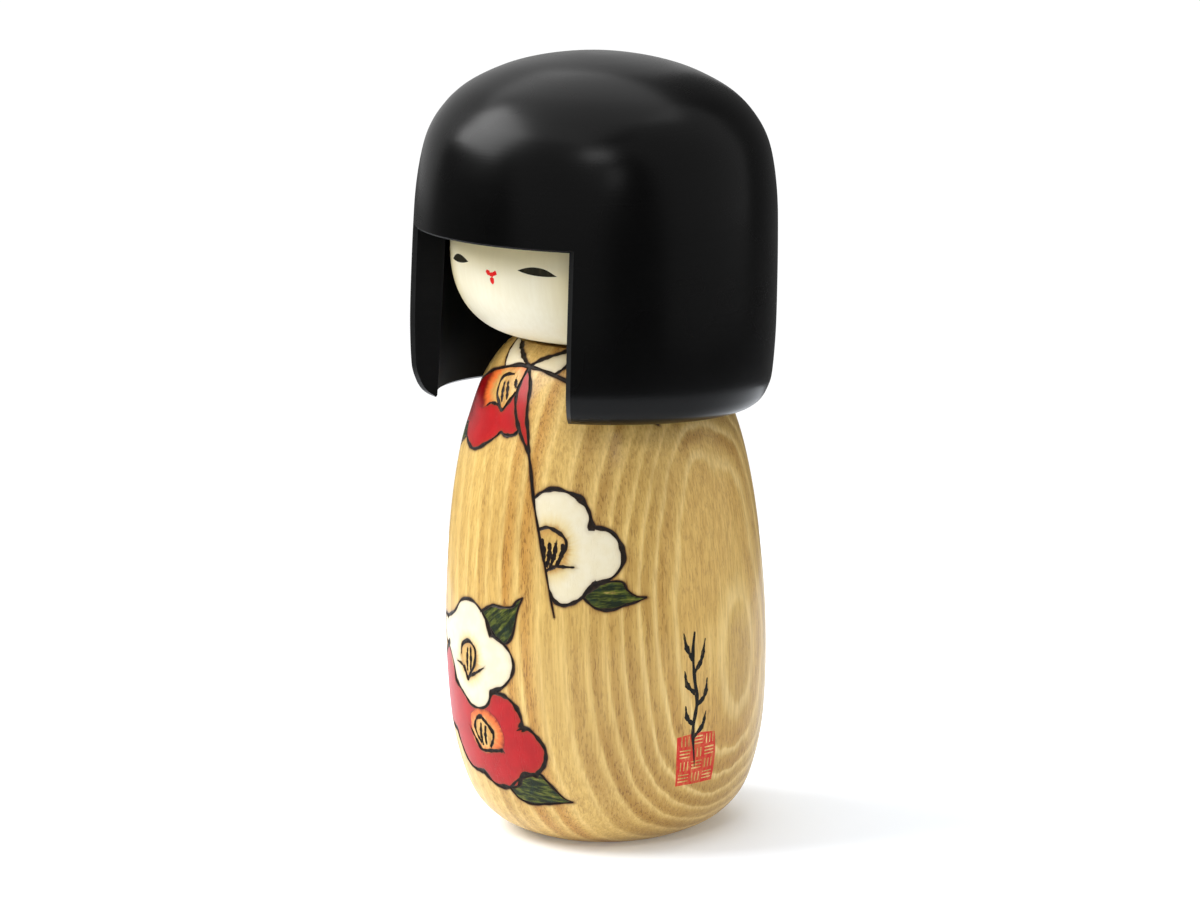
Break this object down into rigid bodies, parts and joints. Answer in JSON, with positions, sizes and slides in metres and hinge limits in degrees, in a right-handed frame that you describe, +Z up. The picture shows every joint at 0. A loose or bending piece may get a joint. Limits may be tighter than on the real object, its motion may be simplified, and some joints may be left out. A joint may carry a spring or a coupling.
{
  "type": "kokeshi doll",
  "caption": "Turned wooden doll with a barrel body, a turning head on a neck dowel, and a hollow black hair cap open in front of the face.",
  "frame": {"origin": "centre of the flat foot, on the ground", "axes": "+Z up, the face and the window in the hair look along -Y, +X is the doll's left"},
  "size_m": [0.0858, 0.0853, 0.185],
  "materials": {
    "body_wood": "golden wood, waxed, with burnt outlines and painted flowers",
    "dowel_wood": "bare, as turned",
    "head_ivory": "ivory paint, satin",
    "hair_black": "black stain, semi-matte"
  },
  "bodies": {
    "trunk": {"body": "body_wood"},
    "turning_head": {"neck_dowel": "dowel_wood", "head": "head_ivory", "hair_cap": "hair_black"}
  },
  "joints": [
    {"name": "head_turn", "type": "hinge", "parent": "trunk", "child": "turning_head", "pos_m": [0, -0.0033, 0.1032], "axis": [0, 0.068, 0.9977], "continuous": true}
  ]
}
